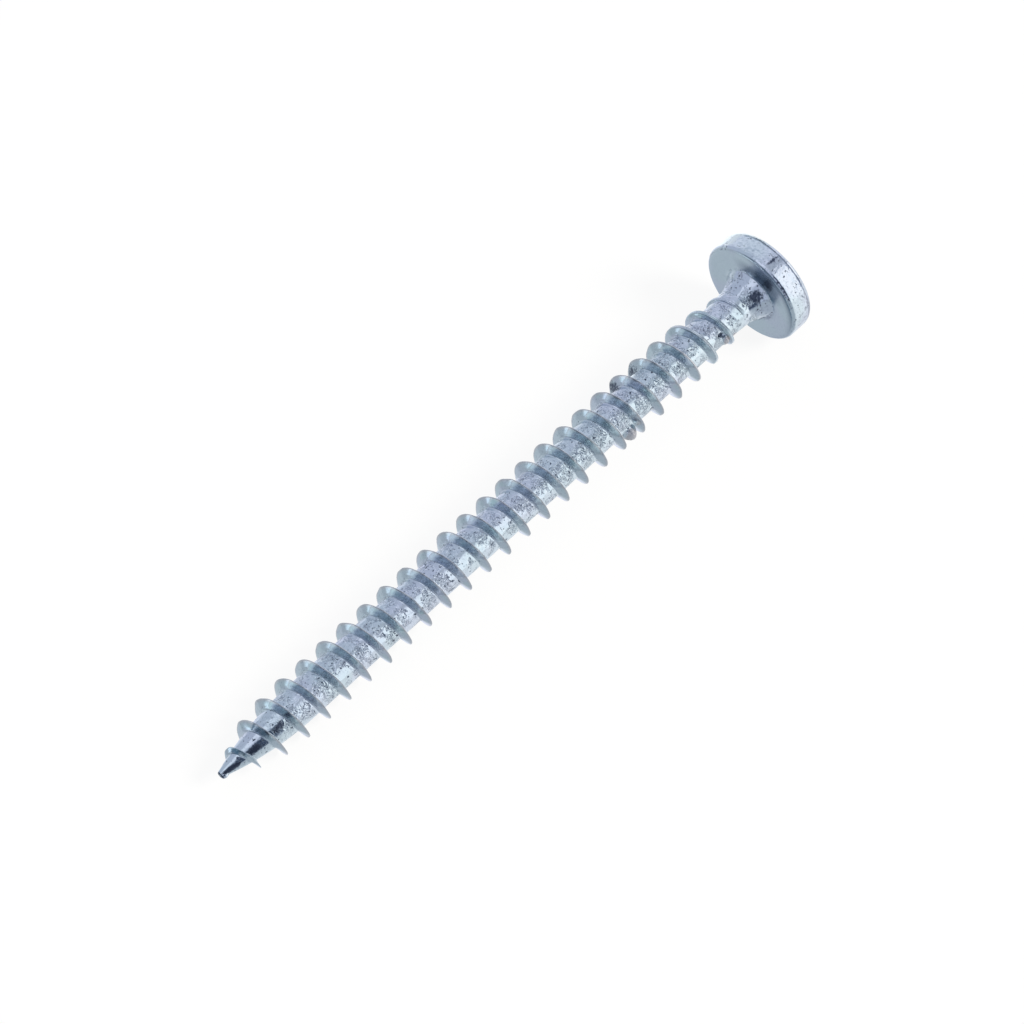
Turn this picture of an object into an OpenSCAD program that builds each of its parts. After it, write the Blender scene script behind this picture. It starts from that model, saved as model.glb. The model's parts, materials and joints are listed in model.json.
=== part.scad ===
// Round head wood screw, 5 x 60, cold-headed and thread-rolled from one piece of steel.
// It lies as it comes to rest: on the rim of its head and on two thread crests behind the point.
// Origin at the middle of its footprint, on the surface it lies on. +X runs from point to head.

/* [Length] */
// Point to bearing face, measured along the axis
under_head = 59.7; // [45:0.1:80]

/* [Thread] */
// Outside diameter over the crests
thread_d = 4.9; // [4.5:0.05:5.2]
// Diameter of the core between the turns
core_d = 3.1; // [2.8:0.05:3.3]
// Distance from one turn to the next
pitch = 2.2; // [1.9:0.05:2.6]
// Width of the flat along the crest
crest_w = 0.06; // [0.04:0.02:0.3]
// Slope of the flank that faces the point, from square to the axis
front_flank_angle = 24; // [15:1:28]
// Slope of the flank that faces the head, from square to the axis
back_flank_angle = 14; // [8:1:20]
// Angle round the axis at which the crest line starts, from straight down
thread_start = 200; // [0:1:359]
// Where the thread ends, below the bearing face
thread_gap = 2; // [2:0.1:6]
// Length over which the crest sinks before it ends
runout_len = 9.7; // [5:0.1:12]

/* [Point] */
// Radius of the blunt tip
tip_r = 0.33; // [0.2:0.01:0.45]
// Length over which the core tapers
core_point_len = 8.5; // [6:0.1:11]
// Length over which the crests rise to full height
crest_point_len = 6.82; // [5:0.01:10]
// Where the ridge starts, from the tip
ridge_start = 0.8; // [0.5:0.1:1.5]
// Length over which the ridge grows out of the point
lead_in_len = 0.8; // [0.4:0.1:2]

/* [Shank and neck] */
// Diameter of the plain shank between thread and neck
shank_d = 3.3; // [3.2:0.05:3.6]
// Length of the cone from core to plain shank
shank_taper_len = 1.6; // [0.8:0.1:3]
// Length of the flared neck under the head
neck_len = 1.75; // [1:0.05:2]
// Slope of the neck from the axis
neck_angle = 25; // [15:1:35]
// Fillet between neck and bearing face
neck_fillet_r = 0.2; // [0.1:0.05:0.5]

/* [Head] */
// Diameter of the head
head_d = 9.4; // [9:0.05:10.4]
// Height of the straight side, edges counted in
head_side_h = 2.1; // [1.6:0.1:2.6]
// Rounding between bearing face and side
head_edge_r = 0.35; // [0.15:0.05:0.5]
// Rounding between side and dome
dome_edge_r = 0.6; // [0.2:0.05:0.8]
// Height of the dome over the side
dome_h = 1.3; // [0.9:0.1:2]

/* [Drive recess] */
// Width across two opposite wings at the mouth
recess_span = 4.7; // [4.2:0.1:5]
// Width of one wing
wing_w = 1.15; // [0.9:0.05:1.3]
// Depth below the crown of the dome
recess_depth = 2.8; // [2.2:0.1:3]
// Slope of the wings' ends from the axis
wing_angle = 25; // [15:1:30]
// Diameter of the round middle at the mouth
recess_middle_d = 2.3; // [1.8:0.1:2.6]
// Turn of the recess round the axis
recess_turn = 20; // [0:1:89]

/* [Smoothness] */
// Steps in one turn of the thread
turn_steps = 32; // [24:2:36]

/* [Hidden] */

EPS = 0.01;
BODY_FN = 64;
ROUND_FN = 96;
ARC_FN = 720;

thread_r = thread_d / 2;
core_r = core_d / 2;
shank_r = shank_d / 2;
head_r = head_d / 2;

// The taper of the point is an arc that meets the full radius smoothly and ends on the tip's ball.
function arc_r(full_r, len) =
    ((len - tip_r) ^ 2 + (full_r - tip_r) ^ 2) / (2 * (full_r - tip_r));
function tapered_r(z, full_r, len) =
    let (arc = arc_r(full_r, len))
    z >= len ? full_r : full_r - arc + sqrt(arc ^ 2 - (len - z) ^ 2);

// Plain body under the thread
thread_end = under_head - thread_gap;
shank_start = thread_end - shank_taper_len;
neck_start = under_head - neck_len;
function body_r(z) =
    z < core_point_len ? tapered_r(z, core_r, core_point_len)
    : z < shank_start ? core_r
    : min(shank_r, core_r + (shank_r - core_r) * (z - shank_start) / shank_taper_len);

// Crest line: it grows out of the point, rises, runs level and sinks into the shank near the head.
crest_bury = 0.06;
runout_power = 2.4;
function lead_in(z) = max(0, min(1, (z - ridge_start) / lead_in_len));
function runout(z) = max(0, (z - (thread_end - runout_len)) / runout_len);
function crest_r(z) =
    let (body = body_r(z), full = tapered_r(z, thread_r, crest_point_len))
    body + (full - body) * lead_in(z)
    - (thread_r - shank_r + crest_bury) * runout(z) ^ runout_power;

// One section of the thread ridge, its foot sunk in the core
foot_sink = 0.2;
function ridge_section(angle) =
    let (z = pitch * (angle - thread_start) / 360,
         top = crest_r(z),
         foot = max(tip_r / 3, min(body_r(z), top) - foot_sink),
         front = crest_w / 2 + (top - foot) * tan(front_flank_angle),
         back = crest_w / 2 + (top - foot) * tan(back_flank_angle))
    [for (p = [[foot, -front], [top, -crest_w / 2], [top, crest_w / 2], [foot, back]])
        [p[0] * cos(angle), p[0] * sin(angle), z + p[1]]];

// Sections lie half a step off straight down, so the crest rests on a facet and doesn't rock.
turn_angle = 360 / turn_steps;
first_step = ceil((thread_start + 360 * ridge_start / pitch) / turn_angle);
last_step = floor((thread_start + 360 * thread_end / pitch) / turn_angle) - 1;

module thread_ridge() {
    sections = [for (i = [first_step : last_step]) ridge_section((i + 0.5) * turn_angle)];
    last = len(sections) - 1;
    sides = [for (i = [0 : last - 1], j = [0 : 3])
        let (a = 4 * i + j, b = 4 * i + (j + 1) % 4)
        each [[a, b, b + 4], [a, b + 4, a + 4]]];
    start_cap = [[0, 2, 1], [0, 3, 2]];
    end_cap = [[4 * last, 4 * last + 1, 4 * last + 2], [4 * last, 4 * last + 2, 4 * last + 3]];
    polyhedron([for (s = sections) each s], concat(sides, start_cap, end_cap), convexity = 10);
}

// Neck fillet: a hollow arc that touches the neck's cone and the bearing face
neck_wall_r = shank_r + (neck_len - neck_fillet_r) * tan(neck_angle);
fillet_x = neck_wall_r + neck_fillet_r / cos(neck_angle);
fillet_z = under_head - neck_fillet_r;

module shank_section() {
    difference() {
        polygon([
            [0, core_point_len], [core_r, core_point_len], [core_r, shank_start],
            [shank_r, thread_end], [shank_r, neck_start],
            [fillet_x - neck_fillet_r * cos(neck_angle), fillet_z + neck_fillet_r * sin(neck_angle)],
            [fillet_x, under_head], [fillet_x, under_head + head_edge_r],
            [0, under_head + head_edge_r]]);
        translate([fillet_x, fillet_z]) circle(neck_fillet_r, $fn = ROUND_FN);
    }
}

module point_section() {
    arc = arc_r(core_r, core_point_len);
    intersection() {
        translate([core_r - arc, core_point_len]) circle(arc, $fn = ARC_FN);
        translate([0, tip_r]) square([core_r, core_point_len - tip_r]);
    }
    intersection() {
        translate([0, tip_r]) circle(tip_r, $fn = ROUND_FN);
        square([tip_r, tip_r + EPS]);
    }
}

// Dome: one arc over the head, blended into the side by a small one
side_top = under_head + head_side_h;
crown = side_top + dome_h;
dome_r = (head_r ^ 2 + dome_h ^ 2) / (2 * dome_h);
dome_z = crown - dome_r;
blend_x = head_r - dome_edge_r;
blend_z = dome_z + sqrt((dome_r - dome_edge_r) ^ 2 - blend_x ^ 2);
meet_x = blend_x * dome_r / (dome_r - dome_edge_r);
meet_z = dome_z + (blend_z - dome_z) * dome_r / (dome_r - dome_edge_r);

module head_section() {
    polygon([
        [0, under_head], [head_r - head_edge_r, under_head], [head_r, under_head + head_edge_r],
        [head_r, blend_z], [meet_x, meet_z], [0, meet_z]]);
    translate([head_r - head_edge_r, under_head + head_edge_r]) circle(head_edge_r, $fn = ROUND_FN);
    translate([blend_x, blend_z]) circle(dome_edge_r, $fn = ROUND_FN);
    intersection() {
        translate([0, dome_z]) circle(dome_r, $fn = ARC_FN);
        translate([0, meet_z]) square([head_r, crown - meet_z]);
    }
}

// Cross recess: four wings with sloping ends round a tapered middle
recess_over = 1;
recess_floor = crown - recess_depth;
module drive_recess() {
    mouth_r = recess_span / 2;
    slope = tan(wing_angle);
    translate([0, 0, recess_floor]) rotate([0, 0, recess_turn]) {
        intersection() {
            cylinder(h = recess_depth + recess_over, r1 = mouth_r - recess_depth * slope,
                r2 = mouth_r + recess_over * slope, $fn = ROUND_FN);
            union() {
                for (turn = [0, 90])
                    rotate([0, 0, turn])
                        translate([-head_r, -wing_w / 2, 0])
                            cube([head_d, wing_w, recess_depth + recess_over]);
            }
        }
        cylinder(h = recess_depth, r1 = wing_w / 2, r2 = recess_middle_d / 2, $fn = ROUND_FN);
        translate([0, 0, recess_depth])
            cylinder(h = recess_over, r = recess_middle_d / 2, $fn = ROUND_FN);
    }
}

// The head's lowest point is a corner of its facets, which lie alike on both sides of it.
module upright_screw() {
    difference() {
        union() {
            rotate_extrude($fn = BODY_FN) {
                point_section();
                shank_section();
                head_section();
            }
            thread_ridge();
        }
        drive_recess();
    }
}

// Resting pose: the floor touches the head's lower edge and the first full crest on the underside.
// crest_point_len is such that the crest before it touches too, which keeps the screw from rolling.
rest_r = thread_r * cos(turn_angle / 2);
rest_crest_z = pitch * (ceil(crest_point_len / pitch + thread_start / 360) - thread_start / 360);
rest_span = under_head + head_edge_r - rest_crest_z;
rest_rise = head_r - head_edge_r - rest_r;
rest_tilt = atan2(rest_rise, rest_span) + asin(head_edge_r / norm([rest_span, rest_rise]));
rest_height = rest_r * cos(rest_tilt) - rest_crest_z * sin(rest_tilt);
rest_reach = dome_z * cos(rest_tilt) + dome_r;

module screw() {
    color([0.62, 0.67, 0.74])
        translate([-rest_reach / 2, 0, rest_height])
            rotate([0, 90 - rest_tilt, 0]) upright_screw();
}

screw();
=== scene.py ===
import json
from math import atan2, ceil, cos, degrees, hypot, pi, radians, sin, sqrt, tan

import bmesh
import bpy
from mathutils import Matrix, Vector, noise


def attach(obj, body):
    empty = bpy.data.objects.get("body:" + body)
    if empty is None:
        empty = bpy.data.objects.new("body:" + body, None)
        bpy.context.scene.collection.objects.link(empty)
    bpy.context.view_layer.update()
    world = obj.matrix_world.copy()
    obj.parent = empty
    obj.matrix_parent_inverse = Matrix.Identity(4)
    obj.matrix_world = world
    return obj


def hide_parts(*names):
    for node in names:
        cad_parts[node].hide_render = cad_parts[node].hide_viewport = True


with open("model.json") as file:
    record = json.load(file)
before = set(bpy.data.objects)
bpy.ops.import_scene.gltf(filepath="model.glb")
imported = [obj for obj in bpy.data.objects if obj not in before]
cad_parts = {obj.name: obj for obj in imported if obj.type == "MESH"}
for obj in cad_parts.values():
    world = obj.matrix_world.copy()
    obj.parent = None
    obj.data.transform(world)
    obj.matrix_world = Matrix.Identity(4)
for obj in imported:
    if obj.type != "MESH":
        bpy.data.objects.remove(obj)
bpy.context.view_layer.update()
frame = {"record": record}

mm = 0.001
mounts = {m["name"]: m for m in frame["record"]["mounts"]}
tipPlace = Vector(mounts["wood_thread"]["pos_m"])
screwAxis = -Vector(mounts["wood_thread"]["axis"])
sideways = Vector((0, 1, 0))
toFloor = sideways.cross(screwAxis)
# Screw space: millimetres from the tip, z along the axis to the head, x towards the floor.
screwToWorld = Matrix((
    (toFloor.x, sideways.x, screwAxis.x, tipPlace.x / mm),
    (toFloor.y, sideways.y, screwAxis.y, tipPlace.y / mm),
    (toFloor.z, sideways.z, screwAxis.z, tipPlace.z / mm),
    (0, 0, 0, 1)))
scene = bpy.context.scene


# Camera, in front of the tip's side and well above the floor
camera = {
    "fromTip": (-79.60, -105.52, 226.77),   # mm
    "right": (0.68812, -0.72560, 0.0),
    "forward": (0.40785, 0.38679, -0.82708),
    "lens": 123.05,
    "sensor": 36.0,
    "nearest": 0.01,                        # m
    "farthest": 20.0,
}


def addCamera():
    data = bpy.data.cameras.new("camera")
    data.lens = camera["lens"]
    data.sensor_width = camera["sensor"]
    data.clip_start = camera["nearest"]
    data.clip_end = camera["farthest"]
    obj = bpy.data.objects.new("camera", data)
    scene.collection.objects.link(obj)
    right = Vector(camera["right"]).normalized()
    forward = Vector(camera["forward"]).normalized()
    turn = Matrix((right, right.cross(forward), -forward)).transposed()
    obj.matrix_world = Matrix.Translation(tipPlace + Vector(camera["fromTip"]) * mm) @ turn.to_4x4()
    scene.camera = obj
    print("camera set")


# Node helper: a value in a node tree that adds a Math node for each sum it takes part in
class NodeValue:
    def __init__(self, tree, socket):
        self.tree = tree
        self.socket = socket

    def math(self, operation, *others, swap=False):
        node = self.tree.nodes.new("ShaderNodeMath")
        node.operation = operation
        terms = [self, *others]
        if swap:
            terms.reverse()
        for slot, term in enumerate(terms):
            if isinstance(term, NodeValue):
                self.tree.links.new(term.socket, node.inputs[slot])
            else:
                node.inputs[slot].default_value = term
        return NodeValue(self.tree, node.outputs[0])

    def __add__(self, other):
        return self.math("ADD", other)

    def __sub__(self, other):
        return self.math("SUBTRACT", other)

    def __mul__(self, other):
        return self.math("MULTIPLY", other)

    def __truediv__(self, other):
        return self.math("DIVIDE", other)

    def __radd__(self, other):
        return self.math("ADD", other)

    def __rsub__(self, other):
        return self.math("SUBTRACT", other, swap=True)

    def __rmul__(self, other):
        return self.math("MULTIPLY", other)

    def clamped(self):
        return self.math("MAXIMUM", 0.0).math("MINIMUM", 1.0)

    def smooth(self, low, high):
        node = self.tree.nodes.new("ShaderNodeMapRange")
        node.interpolation_type = "SMOOTHSTEP"
        self.tree.links.new(self.socket, node.inputs["Value"])
        node.inputs["From Min"].default_value = low
        node.inputs["From Max"].default_value = high
        return NodeValue(self.tree, node.outputs["Result"])


# One between low and high, with soft ends
def band(value, low, high, soft):
    return value.smooth(low - soft, low + soft) * (1 - value.smooth(high - soft, high + soft))


def mixColour(tree, below, colour, mask):
    node = tree.nodes.new("ShaderNodeMix")
    node.data_type = "RGBA"
    tree.links.new(mask.socket, node.inputs["Factor"])
    for name, value in (("A", below), ("B", colour)):
        socket = [s for s in node.inputs if s.name == name and s.type == "RGBA"][0]
        if isinstance(value, tuple):
            socket.default_value = (*value, 1)
        else:
            tree.links.new(value, socket)
    return [s for s in node.outputs if s.type == "RGBA"][0]


# Body under the thread, sizes in mm as the solid has them
body = {
    "pitch": 2.2,
    "threadStart": 200.0,     # degrees from straight down
    "coreRadius": 1.55,
    "shankRadius": 1.65,
    "tipRadius": 0.33,
    "corePointLength": 8.5,
    "shankTaper": (56.1, 57.7),
    "stepsPerTurn": 96,
    "noseRing": 0.6,          # where the nose cap joins the threaded part
    "neckRing": 57.9,         # where the head joins it
    "spareTurns": 2,          # of the wound strip, pressed flat onto the two rings
    "rowWeld": 0.0005,        # joins rows of the strip that fall on one place
    "ringWeld": 0.0008,       # joins the nose and the head to the threaded part
    "sliver": 0.00005,        # shorter edges than this are dissolved
}

# Thread blade
blade = {
    "outerRadius": 2.438,
    "crestWidth": 0.05,
    "frontAngle": 20.5,       # flank that faces the point, from square to the axis
    "backAngle": 12.5,        # flank that faces the head
    "crestRounding": 0.04,
    "rootFillet": 0.12,
    "pointLength": 6.82,
    "pointSlim": 0.75,        # share of the slopes at the point
    "pointSlimEnds": (2.0, 12.0),
    "start": 0.8,
    "leadIn": 0.8,
    "end": 57.7,
    "runoutLength": 9.7,
    "runoutPower": 2.4,
    "runoutBury": 0.06,
    "runoutCrest": 0.2,       # extra crest width where the blade sinks
    "runoutCrestEnds": (49.0, 54.0),
    "groove": 0.05,           # fold along the crest there
    "grooveShare": 0.6,       # of the crest's half width
    "filletFullFrom": 0.4,    # blade height from which the fillet has its full size
    "leastBlend": 0.004,
    "rows": 33,
    "crestShare": 3 / 16,     # part of the rows on the crest
    "flankShare": 9 / 16,     # part of the rows up to the root
    "filletShare": 13 / 16,   # part of the rows up to the plain core
    "crestSpare": 0.03,       # the crest's rows end this far past its edge
    "flankLeast": 0.06,       # and the flank's rows no nearer to it than this
    "filletBefore": 0.4,      # the fillet's rows start this many fillets before the foot
    "filletAfter": 0.9,       # and end this many after it
    "filletSpare": 0.09,      # and this much further
}


def bodyRadius(z):
    arc = taperArc(body["coreRadius"], body["corePointLength"])
    if z < body["corePointLength"]:
        return body["coreRadius"] - arc + sqrt(arc ** 2 - (body["corePointLength"] - z) ** 2)
    low, high = body["shankTaper"]
    share = min(1, max(0, (z - low) / (high - low)))
    return body["coreRadius"] + (body["shankRadius"] - body["coreRadius"]) * share


def taperArc(fullRadius, length):
    tip = body["tipRadius"]
    return ((length - tip) ** 2 + (fullRadius - tip) ** 2) / (2 * (fullRadius - tip))


# Grid strip wound round the axis: x of the grid runs along the helix, y across one pitch
def threadTree():
    tree = bpy.data.node_groups.new("rolledThread", "GeometryNodeTree")
    tree.interface.new_socket("Geometry", in_out="OUTPUT", socket_type="NodeSocketGeometry")
    sizes = {
        "Pitch": body["pitch"], "Start angle": radians(body["threadStart"]),
        "Core radius": body["coreRadius"], "Shank radius": body["shankRadius"],
        "Outer radius": blade["outerRadius"], "Crest width": blade["crestWidth"],
        "Front slope": tan(radians(blade["frontAngle"])),
        "Back slope": tan(radians(blade["backAngle"])), "Crest rounding": blade["crestRounding"],
        "Root fillet": blade["rootFillet"], "Nose ring": body["noseRing"],
        "Neck ring": body["neckRing"],
    }
    for name, value in sizes.items():
        socket = tree.interface.new_socket(name, in_out="INPUT", socket_type="NodeSocketFloat")
        socket.default_value = value
    tree.interface.new_socket("Material", in_out="INPUT", socket_type="NodeSocketMaterial")
    nodes, links = tree.nodes, tree.links
    groupIn = nodes.new("NodeGroupInput")
    groupOut = nodes.new("NodeGroupOutput")
    given = {name: NodeValue(tree, groupIn.outputs[name]) for name in sizes}
    pitch = given["Pitch"]

    turns = ceil((body["neckRing"] - body["noseRing"]) / body["pitch"]) + body["spareTurns"]
    grid = nodes.new("GeometryNodeMeshGrid")
    grid.inputs["Size X"].default_value = turns
    grid.inputs["Size Y"].default_value = 2
    grid.inputs["Vertices X"].default_value = turns * body["stepsPerTurn"] + 1
    grid.inputs["Vertices Y"].default_value = blade["rows"]
    place = nodes.new("GeometryNodeInputPosition")
    parts = nodes.new("ShaderNodeSeparateXYZ")
    links.new(place.outputs[0], parts.inputs[0])
    wound = NodeValue(tree, parts.outputs["X"]) + turns / 2
    across = NodeValue(tree, parts.outputs["Y"])

    # The strip starts on the step that brings it wholly below the nose ring.
    firstTurn = given["Start angle"] / (2 * pi) - 1
    angle = (wound + firstTurn.math("MULTIPLY", body["stepsPerTurn"]).math("FLOOR")
             / body["stepsPerTurn"]) * (2 * pi)
    crestZ = (angle - given["Start angle"]) * pitch / (2 * pi)

    def tapered(z, fullRadius, full, length):
        arc = taperArc(full, length)
        short = (length - z).math("MAXIMUM", 0.0)
        return fullRadius - arc + (arc ** 2 - short * short).math("MAXIMUM", 0.0).math("SQRT")

    def coreAt(z):
        low, high = body["shankTaper"]
        swell = ((z - low) / (high - low)).clamped()
        taper = tapered(z, given["Core radius"], body["coreRadius"], body["corePointLength"])
        return taper + (given["Shank radius"] - given["Core radius"]) * swell

    coreUnder = coreAt(crestZ.math("MAXIMUM", 0.0))
    full = tapered(crestZ.math("MAXIMUM", 0.0), given["Outer radius"], blade["outerRadius"],
                   blade["pointLength"])
    grown = ((crestZ - blade["start"]) / blade["leadIn"]).math("MINIMUM", 1.0)
    sunk = (crestZ - (blade["end"] - blade["runoutLength"])) / blade["runoutLength"]
    sunk = sunk.math("MAXIMUM", 0.0).math("POWER", blade["runoutPower"])
    crest = coreUnder + (full - coreUnder) * grown
    crest = crest - (given["Outer radius"] - given["Shank radius"] + blade["runoutBury"]) * sunk
    height = (crest - coreUnder).math("MAXIMUM", 0.0)

    blunt = crestZ.smooth(*blade["runoutCrestEnds"]) * blade["runoutCrest"]
    halfCrest = (given["Crest width"] + blunt) / 2
    backHalf = across.math("GREATER_THAN", 0.0)
    slope = given["Front slope"] + (given["Back slope"] - given["Front slope"]) * backHalf
    slim = blade["pointSlim"]
    slope = slope * (slim + (1 - slim) * crestZ.smooth(*blade["pointSlimEnds"]))
    fillet = given["Root fillet"] * (height / blade["filletFullFrom"]).clamped()
    foot = halfCrest + height * slope
    share = across.math("ABSOLUTE")
    first, second, third = blade["crestShare"], blade["flankShare"], blade["filletShare"]
    stops = [halfCrest + blade["crestSpare"],
             (foot - fillet * blade["filletBefore"]).math("MAXIMUM", halfCrest + blade["flankLeast"]),
             foot + fillet * blade["filletAfter"] + blade["filletSpare"]]
    aside = (stops[0] * (share / first).clamped()
             + (stops[1] - stops[0]) * ((share - first) / (second - first)).clamped()
             + (stops[2] - stops[1]) * ((share - second) / (third - second)).clamped()
             + (pitch / 2 - stops[2]) * ((share - third) / (1 - third)).clamped())
    z = crestZ + across.math("SIGN") * aside

    flank = crest - (aside - halfCrest) / slope
    ridge = flank.math("SMOOTH_MIN", crest, given["Crest rounding"])
    fold = 1 - (aside / (halfCrest * blade["grooveShare"])).clamped()
    fold = fold * crestZ.smooth(*blade["runoutCrestEnds"])
    ridge = ridge - fold * blade["groove"]
    zHeld = z.math("MAXIMUM", given["Nose ring"]).math("MINIMUM", given["Neck ring"])
    core = coreAt(zHeld)
    threaded = core.math("SMOOTH_MAX", ridge, fillet + blade["leastBlend"])
    inside = z.math("GREATER_THAN", given["Nose ring"]) * z.math("LESS_THAN", given["Neck ring"])
    radius = core + (threaded - core) * inside

    joined = nodes.new("ShaderNodeCombineXYZ")
    links.new((radius * angle.math("COSINE")).socket, joined.inputs["X"])
    links.new((radius * angle.math("SINE")).socket, joined.inputs["Y"])
    links.new(zHeld.socket, joined.inputs["Z"])
    setPlace = nodes.new("GeometryNodeSetPosition")
    links.new(grid.outputs["Mesh"], setPlace.inputs["Geometry"])
    links.new(joined.outputs[0], setPlace.inputs["Position"])
    merge = nodes.new("GeometryNodeMergeByDistance")
    merge.inputs["Distance"].default_value = body["rowWeld"]
    links.new(setPlace.outputs[0], merge.inputs["Geometry"])
    realize = nodes.new("GeometryNodeRealizeInstances")
    links.new(merge.outputs[0], realize.inputs[0])
    finish = nodes.new("GeometryNodeSetMaterial")
    links.new(realize.outputs[0], finish.inputs["Geometry"])
    links.new(groupIn.outputs["Material"], finish.inputs["Material"])
    links.new(finish.outputs[0], groupOut.inputs[0])
    return tree


def threadedShank(material):
    tree = threadTree()
    carrier = bpy.data.objects.new("threadCarrier", bpy.data.meshes.new("threadCarrier"))
    scene.collection.objects.link(carrier)
    modifier = carrier.modifiers.new("rolledThread", "NODES")
    modifier.node_group = tree
    names = {item.name: item.identifier for item in tree.interface.items_tree
             if item.in_out == "INPUT"}
    modifier[names["Pitch"]] = body["pitch"]
    modifier[names["Material"]] = material
    ready = carrier.evaluated_get(bpy.context.evaluated_depsgraph_get())
    mesh = bpy.data.meshes.new_from_object(ready)
    carrier.modifiers.remove(modifier)
    bpy.data.objects.remove(carrier)
    print("thread wound:", len(mesh.vertices), "points")
    return mesh


# Nose, head and drive recess, in mm and degrees. Rows and steps are counts.
nose = {
    "flat": 0.15,
    "edge": 0.13,
    "edgeAngles": (-90, -8),
    "edgeSteps": 6,
    "setBack": 0.012,
    "taperSteps": 4,
    "taperPower": 0.9,
}
head = {
    "underside": 59.7,
    "radius": 4.69,
    "sideHeight": 2.1,
    "edge": 0.35,
    "domeEdge": 0.6,
    "domeHeight": 1.3,
    "neckLength": 1.75,
    "neckAngle": 25.0,
    "neckFillet": 0.2,
    "neckOverlap": 0.02,      # how far below its start the neck begins
    "neckLead": (0.01, 0.03),     # out and up to its second row
    "neckCurve": 0.45,        # 0 is a straight flare
    "neckSteps": 13,
    "filletSteps": 6,
    "undersideSteps": 9,
    "edgeSteps": 8,
    "sideSteps": 8,
    "domeRows": 12,
    "domeEase": 1.6,          # above 1 the rows stay round for longer
    "domeInner": 2.6,         # the round rows shrink to this radius
    "domeLead": 1.15,         # and reach it this much early
}
recess = {
    "span": 4.7,
    "wing": 1.15,
    "middle": 2.3,
    "depth": 2.8,
    "endSlope": 25.0,
    "draft": 1.5,
    "turn": 20.0,
    "rim": 0.07,
    "rimAngles": (30, 60, 90),
    "corner": 0.16,
    "cornerMost": 0.5,        # of a wing's half width
    "innerCorner": 0.12,
    "innerMost": 0.3,         # of a wing's length
    "middleLeast": 1.06,      # of a wing's half width
    "wallTop": 0.45,
    "wallRows": 7,
    "floorRows": (0.66, 0.33),
    "floorDrop": 0.12,
}


def arcPoints(x, z, radius, start, stop, count):
    return [(x + radius * cos(radians(start + (stop - start) * k / count)),
             z + radius * sin(radians(start + (stop - start) * k / count)))
            for k in range(count + 1)]


def circle(radius, z):
    steps = body["stepsPerTurn"]
    return [Vector((radius * cos(2 * pi * k / steps), radius * sin(2 * pi * k / steps), z))
            for k in range(steps)]


# Radius and height from the blunt end over the taper, up to the threaded part
def noseProfile():
    edge = arcPoints(nose["flat"], nose["setBack"] + nose["edge"], nose["edge"],
                     *nose["edgeAngles"], nose["edgeSteps"])
    joint = body["noseRing"]
    edgeX, edgeZ = edge[-1]
    points = [(nose["flat"] / 2, nose["setBack"])] + edge
    for k in range(1, nose["taperSteps"]):
        share = k / nose["taperSteps"]
        points.append((edgeX + (bodyRadius(joint) - edgeX) * share ** nose["taperPower"],
                       edgeZ + (joint - edgeZ) * share))
    points.append((bodyRadius(joint), joint))
    return points


# Radius and top of the ball that the dome is a part of
def domeBall():
    ball = (head["radius"] ** 2 + head["domeHeight"] ** 2) / (2 * head["domeHeight"])
    return ball, head["underside"] + head["sideHeight"] + head["domeHeight"]


# Radius and height from the neck up to the top of the dome's edge
def headProfile():
    under = head["underside"]
    shank = body["shankRadius"]
    slope = tan(radians(head["neckAngle"]))
    neckStart = under - head["neckLength"]
    wall = shank + (head["neckLength"] - head["neckFillet"]) * slope
    filletX = wall + head["neckFillet"] / cos(radians(head["neckAngle"]))
    filletZ = under - head["neckFillet"]
    fillet = arcPoints(filletX, filletZ, head["neckFillet"], 180 - head["neckAngle"], 90,
                       head["filletSteps"])
    leadOut, leadUp = head["neckLead"]
    points = [(shank, neckStart - head["neckOverlap"]), (shank + leadOut, neckStart + leadUp)]
    for k in range(1, head["neckSteps"]):
        share = k / head["neckSteps"]
        flare = share * (1 - head["neckCurve"] + head["neckCurve"] * share)
        points.append((shank + (fillet[0][0] - shank) * flare,
                       neckStart + (fillet[0][1] - neckStart) * share))
    points += fillet
    edgeX = head["radius"] - head["edge"]
    for k in range(1, head["undersideSteps"]):
        points.append((filletX + (edgeX - filletX) * k / head["undersideSteps"], under))
    points += arcPoints(edgeX, under + head["edge"], head["edge"], -90, 0, head["edgeSteps"])
    ball, crown = domeBall()
    centre = crown - ball
    blendX = head["radius"] - head["domeEdge"]
    blendZ = centre + sqrt((ball - head["domeEdge"]) ** 2 - blendX ** 2)
    sideLow = under + head["edge"]
    for k in range(1, head["sideSteps"]):
        points.append((head["radius"], sideLow + (blendZ - sideLow) * k / head["sideSteps"]))
    meet = degrees(atan2(blendZ - centre, blendX))
    points += arcPoints(blendX, blendZ, head["domeEdge"], 0, meet, head["edgeSteps"])
    return points


# Four points on a quadratic curve that round the corner of a flat outline
def corner(before, at, after, reach):
    start = at + (before - at).normalized() * reach
    stop = at + (after - at).normalized() * reach
    return [start * (1 - t) ** 2 + at * (2 * t * (1 - t)) + stop * t ** 2
            for t in (0, 1 / 3, 2 / 3, 1)]


def between(a, b, count):
    return [a.lerp(b, (k + 1) / (count + 1)) for k in range(count)]


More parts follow.
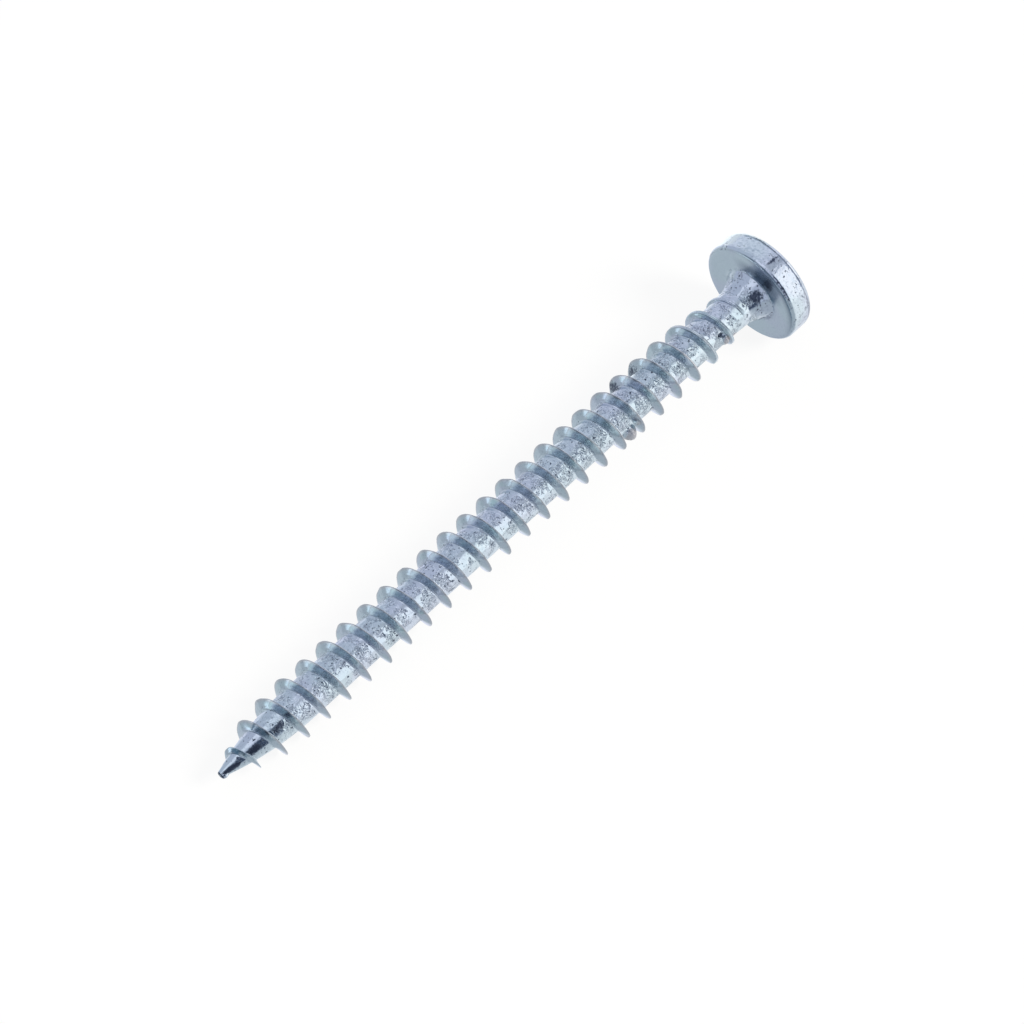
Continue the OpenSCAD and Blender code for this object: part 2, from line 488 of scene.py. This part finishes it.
# 96 points of the cross at one depth, four wings of 24 points each
def recessOutline(depth, grow=0.0):
    end = recess["span"] / 2 - depth * tan(radians(recess["endSlope"])) + grow
    half = recess["wing"] / 2 - depth * tan(radians(recess["draft"])) + grow
    sink = depth / recess["depth"]
    middle = recess["middle"] / 2 * (1 - sink) + recess["wing"] / 2 * sink + grow
    middle = max(middle, half * recess["middleLeast"])
    reach = min(recess["corner"] + grow, half * recess["cornerMost"])
    joint = sqrt(middle ** 2 - half ** 2)
    inner = min(recess["innerCorner"], (end - joint) * recess["innerMost"])
    middleStart = Vector((middle * cos(pi / 4), -middle * sin(pi / 4)))
    middleStop = Vector((middle * cos(pi / 4), middle * sin(pi / 4)))
    lowJoint, highJoint = Vector((joint, -half)), Vector((joint, half))
    lowEnd, highEnd = Vector((end, -half)), Vector((end, half))
    first = corner(middleStart, lowJoint, lowEnd, inner)
    second = corner(lowJoint, lowEnd, highEnd, reach)
    third = corner(lowEnd, highEnd, highJoint, reach)
    fourth = corner(highEnd, highJoint, middleStop, inner)
    wingPoints = [middleStart] + first + between(first[-1], second[0], 2) + second
    wingPoints += between(second[-1], third[0], 3) + third
    wingPoints += between(third[-1], fourth[0], 2) + fourth
    points = []
    for wing in range(4):
        turn = radians(recess["turn"] + 90 * wing)
        for p in wingPoints:
            points.append((p.x * cos(turn) - p.y * sin(turn), p.x * sin(turn) + p.y * cos(turn)))
    return points


# Rings of screw-space points from the neck over the dome into the recess
def headRings():
    steps = body["stepsPerTurn"]
    rings = [circle(radius, z) for radius, z in headProfile()]
    ball, crown = domeBall()
    centre = crown - ball
    shift = round((recess["turn"] - 45) / 360 * steps)   # the step that outline point 0 faces
    mouth = recessOutline(0, recess["rim"])
    rimRadius = hypot(rings[-1][0].x, rings[-1][0].y)
    for row in range(1, head["domeRows"] + 1):
        share = row / head["domeRows"]
        ease = share ** head["domeEase"]
        radius = rimRadius + (head["domeInner"] - rimRadius) * min(1, share * head["domeLead"])
        ring = [None] * steps
        for k in range(steps):
            step = (k + shift) % steps
            angle = 2 * pi * step / steps
            x = radius * cos(angle) * (1 - ease) + mouth[k][0] * ease
            y = radius * sin(angle) * (1 - ease) + mouth[k][1] * ease
            ring[step] = Vector((x, y, centre + sqrt(ball ** 2 - x * x - y * y)))
        rings.append(ring)

    mouthDrop = [crown - p.z for p in rings[-1]]
    for angle in recess["rimAngles"]:
        ring = [None] * steps
        grow = recess["rim"] * (1 - sin(radians(angle)))
        sink = recess["rim"] * (1 - cos(radians(angle)))
        for k, (x, y) in enumerate(recessOutline(0, grow)):
            step = (k + shift) % steps
            ring[step] = Vector((x, y, crown - mouthDrop[step] - sink))
        rings.append(ring)
    for row in range(1, recess["wallRows"] + 1):
        ring = [None] * steps
        share = row / recess["wallRows"]
        depth = recess["wallTop"] + (recess["depth"] - recess["wallTop"]) * share
        for k, (x, y) in enumerate(recessOutline(depth)):
            ring[(k + shift) % steps] = Vector((x, y, crown - depth))
        rings.append(ring)
    return rings


def joinRings(mesh, low, high):
    for k in range(len(low)):
        after = (k + 1) % len(low)
        mesh.faces.new((low[k], low[after], high[after], high[k]))


# Quads between neighbouring rings, the first and last of them left open
def addRings(mesh, rings):
    made = [[mesh.verts.new(p) for p in ring] for ring in rings]
    for low, high in zip(made, made[1:]):
        joinRings(mesh, low, high)
    return made


def closeWith(mesh, ring, point):
    pole = mesh.verts.new(point)
    for k in range(len(ring)):
        mesh.faces.new((ring[k], ring[(k + 1) % len(ring)], pole))


# Unevenness of this one screw, with painted shade and painted reflections among its stains. Places are
# lengths along the axis in mm and angles from straight down.
# Lumps and pits: place, half length, half width and height, less than zero for a pit.
# Stains and painted shade, dark, and rubs, bare metal: place, half length, half width and strength.
surfaceMarks = {
    "marks": [
        (0.24, 292.0, 0.34, 0.34, 0.15),
        (43.5, 292.0, 0.72, 0.85, 0.80),
        (54.95, 266.0, 0.36, 0.62, 0.34),
        (54.62, 238.0, 0.40, 0.28, -0.20),
        (51.8, 208.0, 0.16, 0.16, -0.06),
        (60.99, 220.0, 0.17, 0.17, -0.06),
        (60.53, 208.0, 0.13, 0.13, -0.05),
        (60.3, 214.0, 0.10, 0.12, -0.04),
        (60.85, 244.0, 0.30, 0.30, 0.03),
    ],
    "stainsAndShades": [
        (45.32, 99.0, 0.50, 1.70, 0.80),
        (47.52, 96.0, 0.50, 1.55, 0.72),
        (54.62, 238.0, 0.45, 0.32, 1.1),
        (51.8, 208.0, 0.18, 0.18, 1.0),
        (23.4, 270.0, 0.34, 0.14, 1.0),
        (29.4, 268.0, 0.30, 0.14, 1.0),
        (46.2, 272.0, 0.30, 0.14, 1.0),
        (37.9, 146.0, 0.20, 0.14, 0.8),
        (12.2, 208.0, 0.22, 0.34, 0.85),
        (14.2, 200.0, 0.30, 0.16, 0.85),
        (17.0, 262.0, 0.30, 0.20, 0.8),
        (26.1, 204.0, 0.24, 0.12, 0.9),
        # painted reflection of the dark opening round the camera, along the point
        (1.0, 230.0, 1.20, 0.34, 1.3),
        (3.15, 222.0, 1.00, 0.46, 1.1),
        (5.50, 216.0, 1.05, 0.50, 0.9),
        # painted reflection of the dark opening, on the neck
        (58.9, 218.0, 0.95, 1.05, 0.90),
        (0.0, 200.0, 0.20, 6.0, 0.75),
        (60.99, 220.0, 0.17, 0.17, 1.0),
        (60.53, 208.0, 0.13, 0.13, 0.9),
        (60.82, 194.0, 0.95, 0.26, 1.0),
        # painted dark reflection along the rounded edge under the head
        (59.9, 222.0, 0.26, 3.1, 0.50),
    ],
    "rubs": [
        (43.5, 293.0, 0.95, 1.1, 1.0),
        (54.95, 266.0, 0.42, 0.70, 1.0),
        (56.0, 285.0, 0.5, 0.5, 0.7),
    ],
    # Painted reflection of the dark neck, on the underside of the head: radii where they start and are
    # full, angle, half angle, strength
    "shades": [
        (3.85, 4.30, 232.0, 64.0, 0.52),
        (3.95, 3.25, 199.0, 52.0, 0.68),
        (4.30, 3.60, 212.0, 28.0, 0.42),
    ],
    "lowTurns": [(1.6, 0.08), (6.1, 0.07)],   # place and share of the blade's height that is lost
    "lowTurnReach": 1.3,
    "bladeFrom": 0.03,        # height over the core from which a point is on the blade
    "crestLoss": 0.10,        # of the blade's height
    "lossShift": 0.1,         # above 0 more of the crest is worn
    "lossPattern": (2.2, 1.1),   # scale around and along the screw
    "bladeSway": 0.05,
    "swayPattern": 0.8,
    "swayPlace": (5, 3, 1),
    "lumpFullness": 0.5,      # below 1 a lump is fuller than its bell shape
}


# One in the middle of a mark, zero from its edge outwards
def within(z, angle, radius, mark):
    along, turn, halfLength, halfWidth = mark[:4]
    off = (z - along) / halfLength
    swing = (angle - radians(turn) + pi) % (2 * pi) - pi
    reach = off * off + (swing * radius / halfWidth) ** 2
    return (1 - reach) ** 2 if reach < 1 else 0.0


def strongest(marks, z, angle, radius):
    return max(mark[4] * within(z, angle, radius, mark) for mark in marks)


# How much darker the painted reflection of the dark neck makes a point on the underside of the head
def shadeAt(angle, radius):
    darkest = 0.0
    for start, full, turn, spread, strength in surfaceMarks["shades"]:
        deep = min(1.0, max(0.0, (radius - start) / (full - start)))
        swing = (degrees(angle) - turn + 180) % 360 - 180
        darkest = max(darkest, strength * deep * max(0.0, 1 - (swing / spread) ** 2))
    return darkest


def wearAndShade(mesh):
    stainAndShade = mesh.verts.layers.float.new("stainAndShade")
    rub = mesh.verts.layers.float.new("rub")
    shade = mesh.verts.layers.float.new("shade")
    nearby = 0.01
    for v in mesh.verts:
        x, y, z = v.co
        radius = hypot(x, y)
        if radius < nearby:
            continue
        angle = atan2(y, x)
        # stains, and painted reflections of the dark opening round the camera
        v[stainAndShade] = strongest(surfaceMarks["stainsAndShades"], z, angle, radius)
        v[rub] = strongest(surfaceMarks["rubs"], z, angle, radius)
        core = bodyRadius(z)
        rise = radius - core
        wanted = radius
        if z > body["neckRing"]:
            if abs(z - head["underside"]) < nearby:
                # painted reflection of the dark neck in the underside
                v[shade] = shadeAt(angle, radius)
            for mark in surfaceMarks["marks"]:
                wanted += mark[4] * within(z, angle, radius, mark)
        elif rise > surfaceMarks["bladeFrom"]:
            around, along = surfaceMarks["lossPattern"]
            spot = Vector((cos(angle) * around, sin(angle) * around, z * along))
            loss = max(0.0, noise.noise(spot) + surfaceMarks["lossShift"]) * surfaceMarks["crestLoss"]
            for place, low in surfaceMarks["lowTurns"]:
                loss += low * max(0.0, 1 - abs(z - place) / surfaceMarks["lowTurnReach"])
            wanted = core + rise * (1 - loss)
            spot = spot * surfaceMarks["swayPattern"] + Vector(surfaceMarks["swayPlace"])
            v.co.z += noise.noise(spot) * surfaceMarks["bladeSway"] * rise
        else:
            for mark in surfaceMarks["marks"]:
                shape = surfaceMarks["lumpFullness"] if mark[4] > 0 else 1
                wanted += mark[4] * within(z, angle, core, mark) ** shape
        v.co.x *= wanted / radius
        v.co.y *= wanted / radius
    print("wear added")


def buildScrew(material):
    mesh = bmesh.new()
    strip = threadedShank(material)
    mesh.from_mesh(strip)
    bpy.data.meshes.remove(strip)

    noseRings = addRings(mesh, [circle(radius, z) for radius, z in noseProfile()])
    closeWith(mesh, noseRings[0], Vector((0, 0, nose["setBack"])))

    upperRings = addRings(mesh, [circle(body["shankRadius"], body["neckRing"])] + headRings())
    outer = upperRings[-1]
    floorEdge = [v.co.copy() for v in outer]
    for share in recess["floorRows"]:
        drop = recess["floorDrop"] * (1 - share)
        inner = [mesh.verts.new((p.x * share, p.y * share, p.z - drop)) for p in floorEdge]
        joinRings(mesh, outer, inner)
        outer = inner
    closeWith(mesh, outer, Vector((0, 0, floorEdge[0].z - recess["floorDrop"])))

    bmesh.ops.remove_doubles(mesh, verts=mesh.verts, dist=body["ringWeld"])
    wearAndShade(mesh)
    bmesh.ops.dissolve_degenerate(mesh, dist=body["sliver"], edges=mesh.edges)
    bmesh.ops.recalc_face_normals(mesh, faces=mesh.faces)
    openEdges = [e for e in mesh.edges if len(e.link_faces) != 2]
    print("screw closed, open edges:", len(openEdges), "volume mm3:", round(mesh.calc_volume(), 1))
    bmesh.ops.transform(mesh, matrix=Matrix.Scale(mm, 4) @ screwToWorld, verts=mesh.verts)
    data = bpy.data.meshes.new("woodScrew")
    mesh.to_mesh(data)
    mesh.free()
    data.materials.clear()
    data.materials.append(material)
    data.shade_smooth()
    obj = bpy.data.objects.new("woodScrew", data)
    scene.collection.objects.link(obj)
    triangles = sum(len(p.vertices) - 2 for p in data.polygons)
    print("screw built:", triangles, "triangles")
    return obj


# Zinc plating, blue-passivated. Depths, heights and places are in mm. The other pairs are the values of
# a pattern at which its colour starts to show and shows fully.
plating = {
    "base": (0.615, 0.70, 0.74),
    "lavender": (0.625, 0.675, 0.755),
    "lavenderFrom": (0.42, 0.62),
    "green": (0.585, 0.69, 0.72),
    "greenFrom": (0.45, 0.62),
    "bare": (0.70, 0.67, 0.66),
    "bareOnCrest": 0.8,
    # painted reflection of the dark neck in the underside of the head
    "shade": (0.09, 0.14, 0.20),
    "tarnish": (0.42, 0.47, 0.54),
    "tarnishFrom": (0.50, 0.72),
    "tarnishAmount": 0.5,
    "tarnishLess": 0.35,      # on the underside of the head
    # dark colour of the stains, of the painted shade in folds and pits and of the painted reflections
    "stainAndShade": (0.05, 0.065, 0.11),
    "stainAndShadeAmount": 0.92,
    "stainAndShadeGain": (1.6, 2.4, 1.6),   # times the mark, plus times the mottle, less this
    "stainAndShadeSoft": 0.8,
    "rubGain": (1.6, 0.75),         # times the mark, less this
    "rubSoft": 0.5,
    "foldWidth": 0.17,
    "foldDepth": 0.024,
    "foldsLess": (0.41, 0.10, 0.16),   # everywhere, more next to the blade, more on the head
    "foldGroupSoft": 0.10,
    # painted shade in the creases of the folds
    "foldShade": 0.42,
    "foldShadeFrom": (0.75, 1.0),
    "gapMiddle": (0.3, 0.75),     # 0 on the crest, 1 halfway between two turns
    "smoothPoint": (3.0, 7.0),
    "pitFrom": (0.65, 0.71),
    "pitsLess": 0.015,        # on the head
    "pitDepth": 0.045,
    "waveDepth": 0.025,
    "wavesLess": 0.75,        # on the blade and the underside of the head
    "grainDepth": 0.0012,
    "roughness": 0.10,
    "roughGrain": 0.06,
    "roughUnderside": 0.08,
    "roughRub": 0.4,
    "roughStainAndShade": 0.2,
    "offCore": (0.05, 0.22),      # heights over the core
    "onBlade": (0.16, 0.36),
    "onCrest": (0.60, 0.86),
    "threadStop": (57.2, 57.5),   # along the screw
    "headStart": (0.02, 0.12),    # past the underside of the head
    "undersideDepth": (-0.03, 0.02, 0.02),   # past it: two ends and their softness
    "undersideStart": (2.5, 2.7),            # radius
}
# Its noise patterns, sizes in mm. The shift sets each of them off from the others.
patterns = {
    "lavender": {"size": 4.0},
    "green": {"size": 1.6, "shift": 5.0},
    "mottle": {"size": 0.22, "detail": 3.0, "shift": 13.0},   # breaks up tarnish, stains, painted shade and rubs
    "folds": {"size": 0.36, "detail": 1.5, "distortion": 1.1, "stretch": (1, 1, 0.85)},
    "foldGroups": {"size": 1.1, "detail": 1.5, "shift": 7.0},
    "pits": {"size": 0.22, "distortion": 0.3, "shift": 3.0},
    "waves": {"size": 0.50, "distortion": 0.4, "shift": 9.0},
    "grain": {"size": 0.12, "detail": 3.0, "shift": 11.0},
}


def noiseNode(tree, vector, size, detail=2.0, distortion=0.0, stretch=None, shift=0.0):
    if stretch or shift:
        node = tree.nodes.new("ShaderNodeMapping")
        node.inputs["Scale"].default_value = stretch or (1, 1, 1)
        node.inputs["Location"].default_value = (shift, shift * 0.7, shift * 1.3)
        tree.links.new(vector, node.inputs["Vector"])
        vector = node.outputs[0]
    node = tree.nodes.new("ShaderNodeTexNoise")
    node.inputs["Scale"].default_value = 1 / size
    node.inputs["Detail"].default_value = detail
    node.inputs["Distortion"].default_value = distortion
    tree.links.new(vector, node.inputs["Vector"])
    return NodeValue(tree, node.outputs["Fac"])


def zincPlating():
    material = bpy.data.materials.new("zincPlating")
    material.use_nodes = True
    tree = material.node_tree
    nodes, links = tree.nodes, tree.links
    shader = nodes["Principled BSDF"]
    shader.inputs["Metallic"].default_value = 1.0

    # Screw space in mm, as the mesh was built in
    worldToScrew = screwToWorld.inverted()
    place = nodes.new("ShaderNodeTexCoord")
    turned = nodes.new("ShaderNodeMapping")
    turned.inputs["Scale"].default_value = (1 / mm, 1 / mm, 1 / mm)
    turned.inputs["Rotation"].default_value = worldToScrew.to_3x3().to_euler()
    turned.inputs["Location"].default_value = worldToScrew.translation
    links.new(place.outputs["Object"], turned.inputs["Vector"])
    spot = turned.outputs[0]
    parts = nodes.new("ShaderNodeSeparateXYZ")
    links.new(spot, parts.inputs[0])
    x, y, z = [NodeValue(tree, parts.outputs[name]) for name in "XYZ"]
    radius = (x * x + y * y).math("SQRT")
    turn = y.math("ARCTAN2", x) / (2 * pi)
    # Place between two turns: 0 and 1 on the crest, 0.5 halfway
    phase = (z / body["pitch"] - turn + body["threadStart"] / 360).math("FRACT")
    midGap = (1 - (phase - 0.5).math("ABSOLUTE") * 2).smooth(*plating["gapMiddle"])
    # Height over the core, whose taper at the point is close to a parabola
    taperLength = body["corePointLength"] - body["tipRadius"]
    short = (body["corePointLength"] - z).math("MAXIMUM", 0.0) / taperLength
    rise = radius - body["coreRadius"] + short * short * (body["coreRadius"] - body["tipRadius"])
    onThread = 1 - z.smooth(*plating["threadStop"])
    onHead = z.smooth(*[head["underside"] + past for past in plating["headStart"]])
    onBlade = rise.smooth(*plating["onBlade"]) * onThread
    onCrest = rise.smooth(*plating["onCrest"]) * onThread
    low, high, soft = plating["undersideDepth"]
    onUnderside = band(z, head["underside"] + low, head["underside"] + high, soft)
    onUnderside = onUnderside * radius.smooth(*plating["undersideStart"])
    smoothPart = onBlade.math("MAXIMUM", onUnderside)
    away = (1 - rise.smooth(*plating["offCore"]) * onThread) * (1 - onUnderside)

    # Folds left by the thread rolling, densest halfway between the turns, and round pits
    folds = noiseNode(tree, spot, **patterns["folds"])
    folds = 1 - ((folds - 0.5).math("ABSOLUTE") / plating["foldWidth"]).smooth(0.0, 1.0)
    groups = noiseNode(tree, spot, **patterns["foldGroups"])
    everywhere, besideBlade, headward = plating["foldsLess"]
    less = everywhere + (1 - midGap) * besideBlade + onHead * headward
    folds = folds * (groups - less).smooth(0.0, plating["foldGroupSoft"])
    folds = folds * away * z.smooth(*plating["smoothPoint"])
    pits = noiseNode(tree, spot, **patterns["pits"])
    pits = (pits - onHead * plating["pitsLess"]).smooth(*plating["pitFrom"]) * away

    def vertexMark(name):
        node = nodes.new("ShaderNodeAttribute")
        node.attribute_name = name
        return NodeValue(tree, node.outputs["Fac"])

    mottle = noiseNode(tree, spot, **patterns["mottle"])
    # stains and painted reflections, broken up by the mottle
    ofMark, ofMottle, start = plating["stainAndShadeGain"]
    darkened = vertexMark("stainAndShade") * ofMark + mottle * ofMottle - start
    darkened = darkened.smooth(0.0, plating["stainAndShadeSoft"])
    ofMark, start = plating["rubGain"]
    rubbed = (vertexMark("rub") * ofMark + mottle - start).smooth(0.0, plating["rubSoft"])

    # Colour: patches of passivation, bare metal along the crest, painted reflection of the neck under
    # the head, tarnish, painted shade in the folds and pits, and stains with painted reflections of the
    # dark opening among them
    lavender = noiseNode(tree, spot, **patterns["lavender"]).smooth(*plating["lavenderFrom"])
    colour = mixColour(tree, plating["base"], plating["lavender"], lavender)
    green = noiseNode(tree, spot, **patterns["green"]).smooth(*plating["greenFrom"]) * onBlade
    colour = mixColour(tree, colour, plating["green"], green)
    bare = (onCrest * plating["bareOnCrest"]).math("MAXIMUM", rubbed)
    colour = mixColour(tree, colour, plating["bare"], bare)
    # painted reflection of the dark neck in the underside of the head
    colour = mixColour(tree, colour, plating["shade"], vertexMark("shade"))
    tarnish = plating["tarnishAmount"] - onUnderside * plating["tarnishLess"]
    tarnish = mottle.smooth(*plating["tarnishFrom"]) * tarnish
    colour = mixColour(tree, colour, plating["tarnish"], tarnish)
    # painted shade in folds and pits, and stains with painted reflections of the dark opening among them
    darkening = folds.smooth(*plating["foldShadeFrom"]) * plating["foldShade"]
    darkening = darkening.math("MAXIMUM", pits).math("MAXIMUM", darkened * plating["stainAndShadeAmount"])
    colour = mixColour(tree, colour, plating["stainAndShade"], darkening)
    links.new(colour, shader.inputs["Base Color"])

    # Gloss and relief
    grain = noiseNode(tree, spot, **patterns["grain"])
    rough = (plating["roughness"] + grain * plating["roughGrain"]
             + onUnderside * plating["roughUnderside"])
    rough = rough + rubbed * plating["roughRub"] + darkened * plating["roughStainAndShade"]
    links.new(rough.socket, shader.inputs["Roughness"])
    waves = noiseNode(tree, spot, **patterns["waves"])
    height = (waves * plating["waveDepth"] * (1 - smoothPart * plating["wavesLess"])
              + grain * plating["grainDepth"]
              - folds * plating["foldDepth"]
              - pits * plating["pitDepth"])
    relief = nodes.new("ShaderNodeBump")
    relief.inputs["Distance"].default_value = mm
    links.new(height.socket, relief.inputs["Height"])
    links.new(relief.outputs[0], shader.inputs["Normal"])
    print("plating mixed")
    return material


# Floor: white, with a faint shadow. The metal mirrors the studio below it instead.
floor = {
    "halfSize": 1.5,          # m
    "glow": 0.90,
    "shade": (0.10, 0.095, 0.085),
}


def addFloor():
    mesh = bpy.data.meshes.new("floor")
    size = floor["halfSize"]
    mesh.from_pydata([(-size, -size, 0), (size, -size, 0), (size, size, 0), (-size, size, 0)],
                     [], [(0, 1, 2, 3)])
    obj = bpy.data.objects.new("floor", mesh)
    scene.collection.objects.link(obj)
    obj.visible_glossy = False
    material = bpy.data.materials.new("paleFloor")
    material.use_nodes = True
    tree = material.node_tree
    nodes, links = tree.nodes, tree.links
    nodes.remove(nodes["Principled BSDF"])
    cloth = nodes.new("ShaderNodeBsdfDiffuse")
    cloth.inputs["Color"].default_value = (*floor["shade"], 1)
    light = nodes.new("ShaderNodeEmission")
    light.inputs["Strength"].default_value = floor["glow"]
    both = nodes.new("ShaderNodeAddShader")
    links.new(cloth.outputs[0], both.inputs[0])
    links.new(light.outputs[0], both.inputs[1])
    links.new(both.outputs[0], nodes["Material Output"].inputs["Surface"])
    mesh.materials.append(material)
    print("floor laid")


# Studio: a white tent with a long soft box in front of the screw and a dark opening round the camera.
# Each colour is followed by where it lies. Angles are turned round the screw's length, from straight up,
# + away from the camera. Lengths, sides and heights are the x, y and z of a direction of length 1.
# Two numbers are where a colour starts and is full, and three are its two ends and their softness.
studio = {
    "horizon": (-0.08, 0.02),
    "atHead": (0.36, 0.49),
    "wall": (0.55, 0.60, 0.73),
    "wallAtHead": (0.90, 0.93, 1.06),
    "wallHeadwards": (0.59, 0.64, 0.77),
    "wallHeadwardsLength": (0.16, 0.26),
    "overhead": (0.90, 0.95, 1.08),
    "overheadAngles": (-12.0, 18.0, 8.0),
    "opening": (0.060, 0.083, 0.135),
    "openingAngles": (-90.0, -23.0, 6.0),
    "openingLength": (-0.36, 0.10, 0.08),
    "frontBox": (1.16, 1.23, 1.28),
    "frontBoxAtHead": (1.44, 1.43, 1.42),
    "frontBoxAngles": (-112.0, -27.0, 10.0),
    "frontBoxLength": (0.10, 0.30),
    "seam": (0.54, 0.585, 0.67),
    "seamAtHead": (0.44, 0.49, 0.57),
    "seamAngles": (-22.0, -4.0, 4.0),
    "seamLength": (0.08, 0.20),
    "gap": (0.40, 0.46, 0.58),
    "gapBelow": (0.60, 0.60, 0.65),
    "gapBelowSide": (-0.1, 0.3),
    "gapLength": (0.52, 0.74, 0.025),
    "domeSeam": (0.15, 0.17, 0.20),
    "domeSeamLength": (0.72, 0.86, 0.02),
    "pointWall": (0.13, 0.18, 0.24),
    "pointWallLength": (-0.93, -0.60),
    "ground": (0.48, 0.53, 0.595),
    "groundBehind": (0.60, 0.655, 0.72),
    "groundBehindSide": (0.30, 0.42),
    "groundBehindLength": (-0.56, -0.46),
    "groundHeadwards": (0.96, 0.99, 1.03),
    "groundHeadwardsLength": (-0.18, 0.40),
    "groundAtHead": (1.17, 1.19, 1.22),
    "groundBesideHead": (0.88, 0.91, 0.96),
    "groundBesideHeadSide": (-0.75, -0.25),
    "behindHeadwards": (0.86, 0.89, 1.03),
    "behindHeadwardsSide": (0.15, 0.40),
    "behindHeadwardsLength": (-0.05, 0.20),
    "behindAtHead": (1.26, 1.29, 1.35),
    "behindAtHeadSide": (0.48, 0.81, 0.03),
    "behindAtHeadHeight": (-0.30, -0.16),
    "pointFront": (0.33, 0.37, 0.43),
    "pointFrontLength": (-0.56, -0.42),
    "pointFrontSide": (-0.7, -0.4),
    "pointFrontHeight": (-0.5, -0.3),
    "pointFloor": (0.125, 0.205, 0.29),
    "pointFloorLength": (0.54, 0.68),     # towards the point
    "pointFloorSide": (-0.20, -0.06),
    "pointFloorFarSide": (0.265, 0.31),
    "stripe": (1.00, 1.15, 1.30),
    "stripeLength": (-0.73, -0.67),
    "stripeSide": (0.315, 0.505, 0.02),
    "stripeHeight": (-0.53, -0.24, 0.03),
    "lampEnergy": 2.4,
    "lampAngle": 22.0,
    "lampFrom": (0.35, -0.65, 0.67),
}


def addWorld():
    world = bpy.data.worlds.new("studio")
    scene.world = world
    world.use_nodes = True
    tree = world.node_tree
    nodes, links = tree.nodes, tree.links
    coordinate = nodes.new("ShaderNodeTexCoord")
    parts = nodes.new("ShaderNodeSeparateXYZ")
    links.new(coordinate.outputs["Generated"], parts.inputs[0])
    x, y, z = [NodeValue(tree, parts.outputs[name]) for name in "XYZ"]
    angle = y.math("ARCTAN2", z) * (180 / pi)

    def past(value, name):
        return value.smooth(*studio[name])

    def inside(value, name):
        return band(value, *studio[name])

    def over(below, name, mask):
        return mixColour(tree, below, studio[name], mask)

    # Upper half
    atHead = past(x, "atHead")
    colour = over(studio["wall"], "overhead", inside(angle, "overheadAngles"))
    colour = over(colour, "wallHeadwards", past(x, "wallHeadwardsLength"))
    colour = over(colour, "wallAtHead", atHead)
    opening = inside(angle, "openingAngles") * inside(x, "openingLength")
    colour = over(colour, "opening", opening)
    frontBox = over(studio["frontBox"], "frontBoxAtHead", atHead)
    frontMask = inside(angle, "frontBoxAngles") * past(x, "frontBoxLength")
    colour = mixColour(tree, colour, frontBox, frontMask)
    seam = over(studio["seam"], "seamAtHead", atHead)
    colour = mixColour(tree, colour, seam, inside(angle, "seamAngles") * past(x, "seamLength"))
    gap = inside(x, "gapLength")
    colour = over(colour, "gap", gap)
    colour = over(colour, "domeSeam", inside(x, "domeSeamLength"))
    colour = over(colour, "pointWall", 1 - past(x, "pointWallLength"))

    # Lower half, which only the metal mirrors
    behind = past(y, "groundBehindSide") * past(x, "groundBehindLength")
    ground = over(studio["ground"], "groundBehind", behind)
    ground = over(ground, "groundHeadwards", past(x, "groundHeadwardsLength"))
    besideHead = past(y, "groundBesideHeadSide")
    groundAtHead = over(studio["groundAtHead"], "groundBesideHead", besideHead)
    ground = mixColour(tree, ground, groundAtHead, atHead)
    behind = past(y, "behindHeadwardsSide") * past(x, "behindHeadwardsLength") * (1 - atHead)
    ground = over(ground, "behindHeadwards", behind)
    ground = over(ground, "gapBelow", gap * (1 - past(y, "gapBelowSide")))
    behind = inside(y, "behindAtHeadSide") * (1 - past(z, "behindAtHeadHeight")) * atHead
    ground = over(ground, "behindAtHead", behind)
    front = (1 - past(x, "pointFrontLength")) * (1 - past(y, "pointFrontSide"))
    ground = over(ground, "pointFront", front * past(z, "pointFrontHeight"))
    dark = past(0 - x, "pointFloorLength") * past(y, "pointFloorSide")
    ground = over(ground, "pointFloor", dark * (1 - past(y, "pointFloorFarSide")))
    stripe = inside(y, "stripeSide") * inside(z, "stripeHeight")
    ground = over(ground, "stripe", stripe * (1 - past(x, "stripeLength")))
    colour = mixColour(tree, ground, colour, past(z, "horizon"))
    ray = nodes.new("ShaderNodeLightPath")
    colour = mixColour(tree, colour, (1.0, 1.0, 1.0), NodeValue(tree, ray.outputs["Is Camera Ray"]))
    links.new(colour, nodes["Background"].inputs["Color"])


# Broad lamp in front: it only lights the floor, so that the screw's shadow falls behind it
def addLamp():
    data = bpy.data.lights.new("frontLamp", "SUN")
    data.energy = studio["lampEnergy"]
    data.angle = radians(studio["lampAngle"])
    obj = bpy.data.objects.new("frontLamp", data)
    scene.collection.objects.link(obj)
    obj.rotation_euler = Vector(studio["lampFrom"]).to_track_quat("Z", "Y").to_euler()
    obj.visible_glossy = False
    print("studio lit")


addCamera()
addFloor()
addWorld()
addLamp()
screw = buildScrew(zincPlating())
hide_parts("screw")
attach(screw, "root")
scene.view_settings.view_transform = "Standard"
